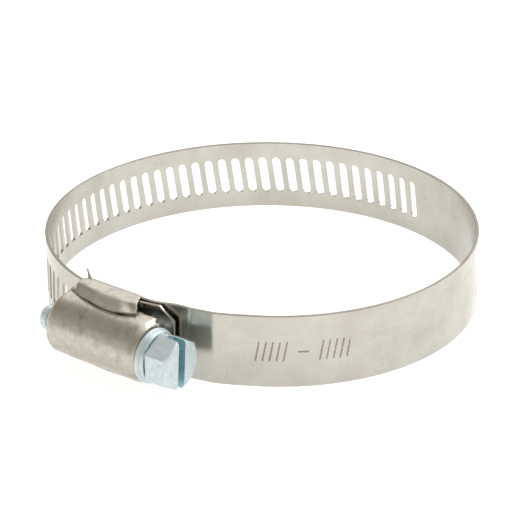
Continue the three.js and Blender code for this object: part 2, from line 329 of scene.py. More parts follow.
def rolled_steel(name, light, dark, roughness, streak, stain=0.5, source="UV", unit=1.0,
                 wear=0.0, speck_scale=5.5):
    """Cold-rolled strip: fine lines along its length, soft blotches, dark specks and scuffs.
    Streak, stain and wear say how strongly the lines, the grain and the scuffs darken it."""
    material, made, inputs = shaded(name)
    inputs["Metallic"].default_value = STEEL_METALLIC
    along = made.coordinates(source, tuple(stretch * unit for stretch in ROLLING_STRETCH))
    flat = made.coordinates(source, (unit, unit, unit))
    lines = made.noise(along, scale=6.0, detail=4.0, roughness=0.65)
    blotches = made.noise(flat, scale=1.3, detail=4.0, roughness=0.6)
    grain = made.noise(flat, scale=34.0, detail=3.0, roughness=0.6)
    specks = made.remap(made.cells(flat, speck_scale), (0.02, 0.075), (1.0, 0.0))
    rare = made.remap(made.noise(flat, scale=2.1, detail=1.0), (0.53, 0.57))
    spots = made.math("MULTIPLY", specks, rare)
    tone = made.mix(made.remap(blotches, (0.3, 0.72)), light, dark)
    lined = made.mix(made.remap(lines, (0.35, 0.75), (0.0, streak)), tone, dark)
    grained = made.mix(made.remap(grain, (0.5, 0.8), (0.0, stain)), lined, dark)
    spotted = made.mix(made.math("MULTIPLY", spots, SPOT_STRENGTH), grained, STEEL_SPECK)
    scuffs = made.remap(made.noise(flat, scale=0.55, detail=5.0, roughness=0.7),
                        (0.52, 0.68), (0.0, wear))
    worn = made.mix(scuffs, spotted, tuple(SCUFF_SHADE * level for level in dark))
    made.feed(inputs["Base Color"], worn)
    rough = made.math(
        "ADD", made.remap(blotches, (0.3, 0.7), (roughness - 0.05, roughness + 0.07)),
        made.remap(grain, (0.3, 0.8), (-0.03, 0.06)))
    made.feed(inputs["Roughness"], rough)
    height = made.math("ADD", made.math("MULTIPLY", lines, 0.7), made.math("MULTIPLY", grain, 0.5))
    made.feed(inputs["Normal"], made.bump(height, STEEL_RELIEF, strength=0.35))
    return material


def zinc_plate(name, light, dark, roughness):
    """Blue-white zinc plating: a frosted grain with small dull flecks."""
    material, made, inputs = shaded(name)
    inputs["Metallic"].default_value = ZINC_METALLIC
    solid = made.coordinates("Object", (1 / MM, 1 / MM, 1 / MM))
    grain = made.noise(solid, scale=5.5, detail=4.0, roughness=0.65)
    blotches = made.noise(solid, scale=0.9, detail=3.0, roughness=0.6)
    flecks = made.remap(made.cells(solid, 2.6), (0.14, 0.30), (1.0, 0.0))
    rare = made.remap(made.noise(solid, scale=0.8, detail=1.0), (0.53, 0.58))
    spots = made.math("MULTIPLY", flecks, rare)
    tone = made.mix(made.remap(blotches, (0.35, 0.7)), light, dark)
    grained = made.mix(made.remap(grain, (0.48, 0.74), (0.0, 0.8)), tone, dark)
    spotted = made.mix(made.math("MULTIPLY", spots, SPOT_STRENGTH), grained, ZINC_FLECK)
    made.feed(inputs["Base Color"], spotted)
    made.feed(inputs["Roughness"],
              made.remap(grain, (0.3, 0.8), (roughness - 0.06, roughness + 0.14)))
    made.feed(inputs["Normal"], made.bump(grain, ZINC_RELIEF, strength=0.4))
    return material


band_steel = rolled_steel(
    "band_steel", (0.59, 0.57, 0.515), (0.48, 0.455, 0.395),
    roughness=0.22, streak=0.6, stain=0.65, wear=0.22)
housing_steel = rolled_steel(
    "housing_steel", (0.60, 0.565, 0.49), (0.46, 0.425, 0.35), roughness=0.30, streak=0.6,
    stain=0.6, source="Object", unit=1 / MM, wear=0.6, speck_scale=0.8)
# Darker, rougher finish of the band's cut edges; the same material is also painted into the deeper parts of the
# pressed marks as shade.
band_edge_and_mark_shade = rolled_steel(
    "band_edge_and_mark_shade", (0.36, 0.33, 0.28), (0.22, 0.20, 0.165), roughness=0.40, streak=0.7)
screw_zinc = zinc_plate("screw_zinc", (0.69, 0.755, 0.765), (0.56, 0.65, 0.67), roughness=0.46)
# Darker, bluer zinc for the hex's foot groove and the drive slot: painted shade in those recesses.
screw_recess_shade = zinc_plate("screw_recess_shade", (0.42, 0.64, 0.67), (0.30, 0.50, 0.54), roughness=0.5)


# ---- meshes

def object_from(name, mesh, material, body):
    piece = add_object(name, mesh)
    mesh.materials.append(material)
    if body:
        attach(piece, body)
    return piece


# ---- the band's centre line

def on_circle(centre, radius, direction):
    angle = math.radians(direction)
    return Vector((centre[0] + radius * math.cos(angle), centre[1] + radius * math.sin(angle)))


def centre_line():
    """Stretches of the band from its tip, each as (start station, length, point function)."""
    stretches = []
    station = 0.0

    def add_arc(centre, radius, start, sweep):
        nonlocal station
        length = radius * math.radians(sweep)
        stretches.append((station, length, lambda d: on_circle(
            centre, radius, start - math.degrees(d / radius))))
        station += length

    def add_line(start, end):
        nonlocal station
        length = (end - start).length
        stretches.append((station, length, lambda d: start + (end - start) * (d / length)))
        station += length

    direction = TIP_DIRECTION
    add_arc(FEED_CENTRE, FEED_RADIUS, direction, TIP_DIRECTION - FEED_END_DIRECTION)
    direction = FEED_END_DIRECTION
    end = on_circle(FEED_CENTRE, FEED_RADIUS, direction)
    for radius, sweep in BAND_ARCS:
        centre = end - on_circle((0, 0), radius, direction)
        add_arc(centre, radius, direction, sweep)
        direction -= sweep
        end = on_circle(centre, radius, direction)
    for corner in PLAIN_END:
        add_line(end, Vector(corner))
        end = Vector(corner)
    return stretches


STRETCHES = centre_line()
BAND_LENGTH = STRETCHES[-1][0] + STRETCHES[-1][1]
CORNERS = [start for start, _, _ in STRETCHES[-len(PLAIN_END):]]
# Between these two stations the corners turn from crisp to soft.
CRISP_END, SOFT_START = CORNERS[3] + 0.3, CORNERS[3] + 1.1
WINDOW_STEPS = 4


def raw_point(station):
    for start, length, point in reversed(STRETCHES):
        if station >= start:
            return point(station - start)
    return STRETCHES[0][2](station)


def band_point(station):
    """The centre line with its corners rounded, by averaging over a short window."""
    share = held((station - CRISP_END) / (SOFT_START - CRISP_END))
    softness = CORNER_SOFTNESS + (MOUTH_SOFTNESS - CORNER_SOFTNESS) * share
    window = [softness * k / WINDOW_STEPS for k in range(-WINDOW_STEPS, WINDOW_STEPS + 1)]
    return sum((raw_point(station + offset) for offset in window), Vector((0, 0))) / len(window)


def band_frame(station):
    """(point, along, outward) in the plane of the ring."""
    step = 0.05
    along = (band_point(station + step) - band_point(station - step)).normalized()
    return band_point(station), along, Vector((-along.y, along.x))


# ---- band pieces

SLOT_ARC_STEPS = 8
SLOT_STEP_ANGLE = 180 / SLOT_ARC_STEPS
STEP_TANGENT = math.tan(math.radians(SLOT_STEP_ANGLE))
# Columns of the plain strip: the step near a corner and elsewhere, how near that is, the
# shortest step kept, and how far past the last slot the first upright column stands.
FINE_STEP, COARSE_STEP, FINE_WITHIN, SHORTEST_STEP, UPRIGHT_AFTER = 0.25, 1.0, 1.6, 0.1, 2
SHARP_TURN = 0.8
CUT_EDGE_TURN, CUT_EDGE_DEPTH = 0.4, 0.2
# Share of a mark's depth past which its faces take the dark edge material as painted shade.
MARK_SHADE_SHARE = 0.4
UV_LENGTH, OUTER_UV_SHIFT = 10, 3


def slot_levels():
    """Heights above the band's middle that every column of the flat strip shares."""
    flat = SLOT_LENGTH / 2 - SLOT_WIDTH / 2
    cell = SLOT_PITCH / 2
    ends = [flat + cell * t for t in (STEP_TANGENT, 1.0)]
    upper = [0.0, flat * 0.5, flat, *ends, (ends[-1] + BAND_MIDDLE) / 2, BAND_MIDDLE]
    return [-level for level in reversed(upper[1:])] + upper


LEVELS = slot_levels()


def flat_point(mesh, cache, s, z):
    key = (round(s, 5), round(z, 5))
    if key not in cache:
        cache[key] = mesh.verts.new((s, 0, z))
    return cache[key]


def add_quad(mesh, cache, corners):
    points = []
    for s, z in corners:
        vertex = flat_point(mesh, cache, s, z)
        if vertex not in points:
            points.append(vertex)
    if len(points) > 2:
        mesh.faces.new(points)


def slotted_cell(mesh, cache, station):
    """One pitch of the strip round its slot, in quads, sheared by the slot's lean."""
    half, cell = SLOT_WIDTH / 2, SLOT_PITCH / 2
    flat = SLOT_LENGTH / 2 - half

    def sheared(x, z):
        return station + x + SLOT_LEAN * z, z

    inner, outer = [], []
    for way in (1, -1):
        for step in range(SLOT_ARC_STEPS + 1):
            angle = math.radians(SLOT_STEP_ANGLE * step)
            c, s = math.cos(angle), math.sin(angle)
            reach = cell / max(abs(c), abs(s))
            inner.append((way * half * c, way * (flat + half * s)))
            outer.append((way * reach * c, way * (flat + reach * s)))
        for level in (flat * 0.5, 0.0, -flat * 0.5):
            inner.append((-way * half, way * level))
            outer.append((-way * cell, way * level))
    for i in range(len(inner)):
        add_quad(mesh, cache, [sheared(*corner) for corner in (
            inner[i - 1], outer[i - 1], outer[i], inner[i])])
    edges = [leaning(station + cell * x) for x in (-1, -STEP_TANGENT, 0, STEP_TANGENT, 1)]
    rows = [level for level in LEVELS if level > flat + cell - 1e-6]
    for way in (1, -1):
        plain_columns(mesh, cache, edges, [way * level for level in rows])


def plain_columns(mesh, cache, edges, levels=None):
    """Plain strip between column edges; each edge is a function from level to station."""
    levels = levels or LEVELS
    for left, right in zip(edges, edges[1:]):
        for low, high in zip(levels, levels[1:]):
            add_quad(mesh, cache, [(left(low), low), (right(low), low),
                                   (right(high), high), (left(high), high)])


def leaning(station):
    return lambda level: station + SLOT_LEAN * level


def upright(station):
    return lambda level: station


def plain_stations(start, end, marked=False):
    """Column stations of the plain strip, closer together where it is bent or marked."""
    stations = [start]
    while stations[-1] < end - 1e-6:
        near = min(abs(stations[-1] - corner) for corner in CORNERS)
        step = FINE_STEP if near < FINE_WITHIN else COARSE_STEP
        if marked and MARK_START - MARK_ROOM < stations[-1] < MARK_END + MARK_ROOM / 2:
            step = MARK_STEP
        stations.append(min(end, stations[-1] + step))
    if len(stations) > 2 and stations[-1] - stations[-2] < SHORTEST_STEP:
        del stations[-2]
    return stations


def flat_strip(start, end, marked=False):
    """The strip between two stations, laid flat: X is the station and Z the height."""
    mesh = bmesh.new()
    cache = {}
    first_cell = FIRST_SLOT - SLOT_PITCH / 2
    last_cell = LAST_SLOT + SLOT_PITCH / 2
    if start < first_cell:
        plain_columns(mesh, cache, [upright(start), leaning(first_cell)])
    for k in range(SLOT_COUNT):
        station = FIRST_SLOT + SLOT_PITCH * k
        if start < station < end:
            slotted_cell(mesh, cache, station)
    if end > last_cell + 0.01:
        after_slots = start <= last_cell
        plain_start = last_cell + UPRIGHT_AFTER if after_slots else start
        edges = [upright(s) for s in plain_stations(plain_start, end, marked)]
        if after_slots:
            edges.insert(0, leaning(last_cell))
        plain_columns(mesh, cache, edges, mark_levels() if marked else None)
    return mesh


def cut_tip(mesh):
    """Takes both corners off the band's slotted end."""
    for way in (1, -1):
        geometry = mesh.verts[:] + mesh.edges[:] + mesh.faces[:]
        bmesh.ops.bisect_plane(
            mesh, geom=geometry, dist=1e-5,
            plane_co=(0, 0, way * (BAND_MIDDLE - TIP_CHAMFER)), plane_no=(-1, 0, way),
            clear_outer=True)


def thicken(mesh):
    """Gives the flat strip its thickness, half on each side."""
    bmesh.ops.recalc_face_normals(mesh, faces=mesh.faces)
    for face in mesh.faces:
        if face.normal.y < 0:
            face.normal_flip()
    made = bmesh.ops.extrude_face_region(mesh, geom=mesh.faces[:])
    lower = [v for v in made["geom"] if isinstance(v, bmesh.types.BMVert)]
    for vertex in mesh.verts:
        vertex.co.y = BAND_THICKNESS / 2
    for vertex in lower:
        vertex.co.y = -BAND_THICKNESS / 2
    bmesh.ops.recalc_face_normals(mesh, faces=mesh.faces)


def on_seam(vertex, seams):
    level = vertex.co.z
    return any(abs(vertex.co.x - seam(level)) < 1e-4 for seam in seams)


def is_seam_face(face, seams):
    return abs(face.normal.y) < 0.1 and all(on_seam(v, seams) for v in face.verts)


def round_edges(mesh, seams):
    """Rounds every sharp edge but those round the seams."""
    sharp = []
    for edge in mesh.edges:
        if len(edge.link_faces) != 2 or edge.calc_face_angle(0) < SHARP_TURN:
            continue
        if all(on_seam(vertex, seams) for vertex in edge.verts):
            continue
        sharp.append(edge)
    bmesh.ops.bevel(mesh, geom=sharp, offset=EDGE_ROUND, segments=2, profile=0.5,
                    affect="EDGES", clamp_overlap=True)


def flat_normals(mesh, seams):
    """Normals of the flat strip at each corner of each face, as {(face, vertex): normal}."""
    mesh.normal_update()
    half = BAND_THICKNESS / 2
    normals = {}
    for face in mesh.faces:
        seam_face = is_seam_face(face, seams)
        for vertex in face.verts:
            if seam_face:
                normal = face.normal.copy()
            elif abs(vertex.co.y) > half - 1e-4:
                normal = Vector((0, math.copysign(1, vertex.co.y), 0))
            else:
                faces = [f.normal * f.calc_area() for f in vertex.link_faces
                         if not is_seam_face(f, seams)]
                normal = sum(faces, Vector()).normalized() if faces else face.normal.copy()
            normals[face.index, vertex.index] = normal
    return normals


def band_mesh(name, start, end, seams, press=None):
    """Bends a flat strip round the ring, with smooth normals, lengthwise UVs, a darker finish on its
    two long cut edges and, where press is given, the pressed marks, with painted shade in their
    deeper parts."""
    flat = flat_strip(start, end, bool(press))
    if start < FIRST_SLOT:
        cut_tip(flat)
    thicken(flat)
    round_edges(flat, seams)
    flat.verts.index_update()
    flat.faces.index_update()
    flat.verts.ensure_lookup_table()
    normals = flat_normals(flat, seams)
    frames = {}

    def frame_of(station):
        key = round(station, 4)
        if key not in frames:
            frames[key] = band_frame(key)
        return frames[key]

    uv = flat.loops.layers.uv.new("length")
    mark_shade_depth = -MARK_SHADE_SHARE * MARK_DEPTH
    corner_normals = []
    for face in flat.faces:
        middle = face.calc_center_median()
        # Faces deep in a pressed mark take the dark edge material: painted shade in the mark.
        marked = press and middle.y > 0 and press(middle.x, middle.z) < mark_shade_depth
        sheared = (abs(face.normal.z) > CUT_EDGE_TURN
                   and abs(middle.z) > BAND_MIDDLE - CUT_EDGE_DEPTH)
        face.material_index = 1 if sheared or marked else 0
        face.smooth = True
        for loop in face.loops:
            station, offset, level = loop.vert.co
            shift = OUTER_UV_SHIFT if offset > 0 else 0
            loop[uv].uv = (station / UV_LENGTH, level / UV_LENGTH + shift)
            _, along, outward = frame_of(station)
            n = normals[face.index, loop.vert.index]
            if press and offset > 0 and n.y > 0.99:
                n = pressed_normal(press, station, level)
            bent = along * n.x + outward * n.y
            corner_normals.append(Vector((bent.x, bent.y, n.z)).normalized())
    for vertex in flat.verts:
        station, offset, level = vertex.co
        if press:
            offset += press(station, level) if offset > 0 else 0
        point, _, outward = frame_of(station)
        at = point + outward * offset
        vertex.co = place(at.x, at.y, level + BAND_MIDDLE)
    mesh = mesh_data(name, flat)
    mesh.normals_split_custom_set(corner_normals)
    return mesh


MARK_START, MARK_END = 198.2, 213.0
MARK_LOW, MARK_HIGH = -1.5, 1.7
MARK_DEPTH, MARK_HALF_WIDTH = 0.07, 0.24
MARK_STEP = 0.13
MARK_LEAN = 0.3
MARK_SPACING = 1.12
MARKS_EACH_SIDE = 5
MARK_ROOM = 1
MARK_MARGIN = 0.4
MARK_REACH = 2.5
DASH_HALF = 0.8


def mark_levels():
    """Heights for the columns of the marked stretch, close together across the marks."""
    count = round((MARK_HIGH - MARK_LOW + 2 * MARK_MARGIN) / MARK_STEP)
    fine = [MARK_LOW - MARK_MARGIN + MARK_STEP * k for k in range(count + 1)]
    kept = [level for level in LEVELS if not fine[0] - 0.2 < level < fine[-1] + 0.2]
    return sorted(kept + fine)


def stroke_distance(station, level, foot, head):
    """Distance in the flat strip from a point to one straight stroke."""
    run, rise = head[0] - foot[0], head[1] - foot[1]
    share = ((station - foot[0]) * run + (level - foot[1]) * rise) / (run * run + rise * rise)
    share = held(share)
    return math.hypot(station - foot[0] - share * run, level - foot[1] - share * rise)


def mark_strokes():
    """Two rows of leaning strokes with a dash between, as plain stand-in marks."""
    strokes = []
    for k in range(MARKS_EACH_SIDE):
        for first in (MARK_START, MARK_END - MARK_SPACING * (MARKS_EACH_SIDE - 1)):
            foot = first + MARK_SPACING * k
            strokes.append(((foot + MARK_LEAN, MARK_LOW), (foot - MARK_LEAN, MARK_HIGH)))
    middle = (MARK_START + MARK_END) / 2
    strokes.append(((middle - DASH_HALF, 0.0), (middle + DASH_HALF, 0.0)))
    return strokes


STROKES = mark_strokes()


def pressed_mark(station, level):
    """Offset of the outer face: negative where a mark is pressed in."""
    beside = MARK_START - MARK_ROOM < station < MARK_END + MARK_ROOM
    if not (beside and abs(level) < MARK_REACH):
        return 0.0
    near = min(stroke_distance(station, level, foot, head) for foot, head in STROKES)
    return -MARK_DEPTH * (1 - ramp(near, 0.0, MARK_HALF_WIDTH))


def pressed_normal(press, station, level):
    """The flat strip's outward normal where it is pressed in."""
    step = 0.05
    along = (press(station + step, level) - press(station - step, level)) / (2 * step)
    rise = (press(station, level + step) - press(station, level - step)) / (2 * step)
    return Vector((-along, 1, -rise)).normalized()


STATION_COUNT = 2400
BEND_SHARE, BEND_MARGIN = 0.86, 0.9
TIP_RUN_LEAD = 9


def web_near(station):
    """The middle of the web nearest a station, where the slotted strip can be parted."""
    if station > LAST_SLOT + SLOT_PITCH:
        return station
    first = FIRST_SLOT + SLOT_PITCH / 2
    return first + SLOT_PITCH * round((station - first) / SLOT_PITCH)


def station_of(point):
    """The station of a hinge, from its place in the row frame."""
    here = Vector(((point[0] - ORIGIN.x) / MM, (point[1] - ORIGIN.y) / MM))
    stations = [BAND_LENGTH * i / STATION_COUNT for i in range(STATION_COUNT + 1)]
    return min(stations, key=lambda s: (raw_point(s) - here).length)


def make_band():
    """One strip as pieces that each cross one flexing place, from mid-piece to mid-piece."""
    chain = sorted((name for name in joints if name.startswith("band_flex_")),
                   key=lambda name: int(name.rsplit("_", 1)[1]))
    hinges = [station_of(joints[name]["pos_m"]) for name in chain]
    middles = [web_near(hinges[0] - TIP_RUN_LEAD)]
    middles += [web_near((a + b) / 2) for a, b in zip(hinges, hinges[1:])]
    edges = [0.0, *middles, BAND_LENGTH]

    def seam(station):
        slotted = 0 < station <= LAST_SLOT + SLOT_PITCH
        return leaning(station) if slotted else upright(station)

    tip_mesh = band_mesh("band_tip_run", 0.0, edges[1], [seam(edges[1])])
    tip = object_from("band_tip_run", tip_mesh, band_steel, "band_feed")
    tip.data.materials.append(band_edge_and_mark_shade)
    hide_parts("band_slotted_feed")
    for index, name in enumerate(chain):
        start, end, hinge = edges[index + 1], edges[index + 2], hinges[index]
        seams = [seam(start)] + ([seam(end)] if end < BAND_LENGTH else [])
        label = f"band_bend_{index + 1}"
        press = pressed_mark if start < MARK_START < MARK_END < end else None
        mesh = band_mesh(label, start, end, seams, press)
        piece = object_from(label, mesh, band_steel, None)
        piece.data.materials.append(band_edge_and_mark_shade)
        reach = BEND_SHARE * min(hinge - start, end - hinge) - BEND_MARGIN
        low, high = band_point(hinge - reach), band_point(hinge + reach)
        joint = joints[name]
        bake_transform(piece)
        child_nodes = frame["record"]["behaviour"]["bodies"][joint["child"]]
        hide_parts(*[node for node in frame["nodes"] if node in child_nodes])


# ---- lofted pieces

def bridge(mesh, one, two):
    """A strip of quads between two rows of vertices."""
    for a, b, c, d in zip(one, one[1:], two[1:], two):
        mesh.faces.new((a, b, c, d))


def loft(mesh, rings, closed=True):
    """Quads between neighbouring rings of points in millimetres; returns the rings of vertices."""
    made = [[mesh.verts.new(point) for point in ring] for ring in rings]
    back = 1 if closed else 0
    for one, two in zip(made, made[1:]):
        bridge(mesh, one + one[:back], two + two[:back])
    return made


SHARPER_THAN = 50
SHEET_ROUND = 0.1
FLAT_WEIGHT = 60


def finished(name, mesh, round_by=0.0, smooth_to=34):
    """Rounds the sharp edges by round_by and makes the mesh one in metres, in the row frame."""
    bmesh.ops.remove_doubles(mesh, verts=mesh.verts, dist=1e-4)
    bmesh.ops.dissolve_degenerate(mesh, edges=mesh.edges, dist=1e-4)
    bmesh.ops.recalc_face_normals(mesh, faces=mesh.faces)
    if round_by:
        sharp = [edge for edge in mesh.edges
                 if len(edge.link_faces) == 2
                 and edge.calc_face_angle(0) > math.radians(SHARPER_THAN)]
        bmesh.ops.bevel(mesh, geom=sharp, offset=round_by, segments=2, profile=0.5,
                        affect="EDGES", clamp_overlap=True)
    for vertex in mesh.verts:
        vertex.co = place(*vertex.co)
    data = mesh_data(name, mesh)
    data.polygons.foreach_set("use_smooth", [True] * len(data.polygons))
    data.set_sharp_from_angle(angle=math.radians(smooth_to))
    return data


def weigh_normals(piece):
    """Keeps flat faces flat beside their rounded edges."""
    modifier = piece.modifiers.new("even_shading", "WEIGHTED_NORMAL")
    modifier.keep_sharp = True
    modifier.weight = FLAT_WEIGHT


def spline(points, steps):
    """A smooth curve through the points, as a list with the given steps in each gap."""
    ends = [2 * points[0] - points[1], *points, 2 * points[-1] - points[-2]]
    curve = []
    for a, b, c, d in zip(ends, ends[1:], ends[2:], ends[3:]):
        for k in range(steps):
            t = k / steps
            curve.append(0.5 * (2 * b + (c - a) * t + (2 * a - 5 * b + 4 * c - d) * t ** 2
                                + (3 * b - a - 3 * c + d) * t ** 3))
    return [*curve, points[-1].copy()]


# ---- housing barrel

FLANGE_START, FLANGE_END = -10.6, 2.2
FLANGE_REACH = 0.85
FOOT_Y = -36.2
FOOT_LIFT = 0.45
MOUTH_RADIUS = 3.0
ARC_STEPS = 40
# How far in from each end the wall is drawn in, and by how much at the end itself.
HEAD_END_ROUNDING, TIP_END_ROUNDING = (1.7, 0.75), (0.7, 0.4)
FLANGE_FADE = (-0.35, 0.1)
SHARP_FOOT, FOOT_FILLET = 0.02, 0.33
HEAD_END_SPAN = 2.0
# Stations of the barrel's rings: shares of each rounded end, and millimetres between them.
TIP_END_SHARES = (0, 0.04, 0.12, 0.25, 0.45, 0.7, 1.0)
HEAD_END_SHARES = (1, 0.85, 0.7, 0.55, 0.4, 0.27, 0.16, 0.08, 0.03, 0)
MIDDLE_STATIONS = [-10.2 + 0.6 * k for k in range(20)] + [3.2, 4.0, 4.8, 5.4]


def flange_share(x):
    """1 along the flanges and 0 past their rounded ends."""
    outside, inside = FLANGE_FADE
    return (ramp(x, FLANGE_START + outside, FLANGE_START + inside)
            * ramp(-x, -FLANGE_END + outside, -FLANGE_END + inside))


def draw_in(x):
    """How far the barrel's wall is drawn in towards its ends."""
    total = 0.0
    for distance, (length, depth) in ((HOUSING_END - x, HEAD_END_ROUNDING),
                                      (x - HOUSING_START, TIP_END_ROUNDING)):
        t = held(1 - distance / length)
        total += depth * (1 - math.sqrt(1 - t * t))
    return total


def dents(x, angle):
    """Small unevenness of the pressed barrel."""
    return 0.025 * math.sin(0.55 * x + 2.1 * angle) + 0.018 * math.sin(1.3 * x - 3.7 * angle + 1)


def half_section(radius, foot, outwards, centre_y):
    """One side of the barrel's section, from the crown to the foot, as (y, distance from the
    middle)."""
    points = []
    for k in range(ARC_STEPS + 1):
        angle = math.radians(90 * k / ARC_STEPS)
        points.append((centre_y - radius * math.cos(angle), radius * math.sin(angle)))
    points += [(centre_y + (foot[0] - centre_y) * t, radius) for t in (0.35, 0.7)]
    fillet = foot[1]
    for step in (0, 30, 60, 90):
        angle = math.radians(step)
        points.append((foot[0] - fillet + fillet * math.sin(angle),
                       radius + fillet * (1 - math.cos(angle))))
    points.append((foot[0], radius + max(fillet, outwards)))
    return points


def barrel_rings():
    """Outer and inner rings of the shell along the screw's axis. The inner ones have one more at
    each end, for the lip round the end wall's opening."""
    stations = MIDDLE_STATIONS + [FLANGE_END - 0.1 + 0.15 * k for k in range(4)]
    stations += [HOUSING_START + TIP_END_ROUNDING[0] * t for t in TIP_END_SHARES]
    stations += [HOUSING_END - HEAD_END_SPAN * t for t in HEAD_END_SHARES]
    outer, inner = [], []
    last = len(stations) - 1
    for k, x in enumerate(sorted(stations)):
        share = flange_share(x)
        drawn = draw_in(x)
        foot_y = FOOT_Y - FOOT_LIFT * (1 - share)
        fillet = SHARP_FOOT + FOOT_FILLET * share
        reach = FLANGE_REACH * share
        radius = BARREL_RADIUS - drawn
        upper = half_section(radius, (foot_y - WALL, fillet), reach, BARREL_Y)
        outer.append(mirror_section([(x, y, d) for y, d in upper], drawn == 0))
        in_lip = k == 0 or k == last
        inside, centre = (MOUTH_RADIUS, SCREW_Y) if in_lip else (radius - WALL, BARREL_Y)
        outwards = reach + WALL + (radius - WALL - inside)
        lower = half_section(inside, (foot_y, fillet + WALL), outwards, centre)
        x_inner = min(max(x, HOUSING_START + WALL), HOUSING_END - WALL)
        inner.append(mirror_section([(x_inner, y, d) for y, d in lower], False))
        if in_lip:
            outer_x = HOUSING_START if k == 0 else HOUSING_END
            lip = mirror_section([(outer_x, y, d) for y, d in lower], False)
            inner.insert(0 if k == 0 else len(inner), lip)
    return outer, inner


def mirror_section(side, uneven):
    """The whole section from one side of it, lower foot first, with the barrel's dents."""
    def at(x, y, d, way):
        angle = math.atan2(way * d, BARREL_Y - y)
        push = dents(x, angle) if uneven and y < BARREL_Y else 0.0
        out = Vector((BARREL_Y - y, way * d)).normalized() * push
        return x, y - out.x, SCREW_Z + way * d + out.y

    lower = [at(*point, -1) for point in reversed(side)]
    return lower + [at(*point, 1) for point in side[1:]]


def make_barrel():
    outer, inner = barrel_rings()
    mesh = bmesh.new()
    skin = loft(mesh, outer, closed=False)
    lining = loft(mesh, inner, closed=False)
    for k in (0, -1):
        bridge(mesh, skin[k], lining[k])
    skin_rows = [skin[0]] + skin + [skin[-1]]
    for i in (0, -1):
        for (a, b), (c, d) in zip(zip(skin_rows, skin_rows[1:]), zip(lining, lining[1:])):
            corners = []
            for vertex in (a[i], b[i], d[i], c[i]):
                if vertex not in corners:
                    corners.append(vertex)
            mesh.faces.new(corners)
    data = finished("barrel_shell", mesh, round_by=SHEET_ROUND)
    barrel = object_from("barrel_shell", data, housing_steel, "housing")
    weigh_normals(barrel)
    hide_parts("housing_barrel")


# ---- saddle

SADDLE_START, SADDLE_END = -10.0, 2.0
SADDLE_THICKNESS, EAR_THICKNESS = 0.38, 0.54
EAR_RADIUS = BARREL_RADIUS + 0.58
PLATE_Y = -32.8
EAR_PATH = [(PLATE_Y, 0.0), (PLATE_Y, 2.0), (PLATE_Y, 4.0), (-32.84, 5.4), (-33.2, 6.15),
            (-33.8, 6.55), (-34.6, 6.80), (-35.4, 6.90), (-36.3, 6.91), (-37.1, 6.84),
            (-37.8, 6.58), (-38.7, 6.15), (-39.6, 5.73), (-40.4, 5.38)]
FOLD_POINT, SPLINE_STEPS = 6, 6
PLATE_TRIM, EAR_LEAN = 1.0, 0.04
EDGE_START, EDGE_MIDDLE, EDGE_END, EDGE_ANGLE = -9.55, -1.0, 3.8, 13.5
EDGE_FALL_TIP, EDGE_FALL_HEAD = 0.25, 0.66
# How far each end of the ear drops onto the barrel, and where along x and y that happens.
DROP_TIP, DROP_TIP_OVER = 0.78, (4.5, 9.3)
DROP_HEAD, DROP_HEAD_OVER = 0.57, (1.0, 3.8)
DROP_Y = (36.6, 37.9)
# One ear: columns along x, steps before and after the fold, and the steps of each change.
EAR_COLUMNS, PLATE_STEPS, EAR_STEPS = 30, 16, 24
TRIM_OVER, LEAN_OVER, LEAN_UNTIL, THICKEN_OVER = (11, 18), (12, 18), (26, 34), (24, 34)
DENTS_FROM = 18
# Middle x and y, half widths in x and y, and depth.
EAR_DENTS = [(-4.6, -35.9, 1.7, 0.5, 0.05), (-6.9, -37.9, 1.0, 0.5, 0.03),
             (-2.2, -38.6, 1.4, 0.6, 0.04)]
# Middle of each section of the torn sliver, and half its width.
BURR_SECTIONS = [
    ((-8.75, -34.6, 12.9), 0.62), ((-9.15, -34.3, 13.16), 0.52), ((-9.8, -33.82, 13.45), 0.36),
    ((-10.35, -33.4, 13.64), 0.28), ((-10.75, -33.12, 13.76), 0.36),
    ((-10.98, -32.97, 13.79), 0.26)]
# Outline of one section: shares of the half width, then offsets in y and z.
BURR_OUTLINE = [(-1, 0.07, 0), (0, 0.11, -0.02), (1, 0.07, 0), (1, -0.07, 0.03), (0, -0.1, 0.05),
                (-1, -0.07, 0.03)]


def ear_path(x):
    """The ear's outer face at one station, from the plate's middle to the ear's edge."""
    fall = EDGE_FALL_TIP if x < EDGE_MIDDLE else EDGE_FALL_HEAD
    last_angle = EDGE_ANGLE - fall * (x - EDGE_MIDDLE) ** 2
    drop = DROP_TIP * ramp(-x, *DROP_TIP_OVER) + DROP_HEAD * ramp(x, *DROP_HEAD_OVER)
    points = [Vector((y, height - drop * ramp(-y, *DROP_Y))) for y, height in EAR_PATH]
    curve = spline(points, SPLINE_STEPS)
    edge_y = BARREL_Y - EAR_RADIUS * math.sin(math.radians(last_angle))
    kept = [p for p in curve if p.x > edge_y + 0.02]
    after = curve[len(kept)]
    t = (kept[-1].x - edge_y) / (kept[-1].x - after.x)
    return kept + [kept[-1].lerp(after, t)]


def resampled(path, fold_index, before, after):
    """The path with fixed counts of points before and after its fold."""
    def along(points, count):
        lengths = [0.0]
        for a, b in zip(points, points[1:]):
            lengths.append(lengths[-1] + (b - a).length)
        made = []
        for k in range(count + 1):
            goal = lengths[-1] * k / count
            i = max(j for j in range(len(lengths)) if lengths[j] <= goal + 1e-9)
            i = min(i, len(points) - 2)
            gap = lengths[i + 1] - lengths[i]
            made.append(points[i].lerp(points[i + 1], (goal - lengths[i]) / gap if gap else 0))
        return made

    return along(path[:fold_index + 1], before) + along(path[fold_index:], after)[1:]


def worn_dent(x, y):
    """The shallow dents pressed into the ear when it was folded over, and a slight ripple."""
    dented = sum(-depth * math.exp(-((x - cx) / rx) ** 2 - ((y - cy) / ry) ** 2)
                 for cx, cy, rx, ry, depth in EAR_DENTS)
    return dented + 0.006 * math.sin(1.9 * x + 2.3 * y)


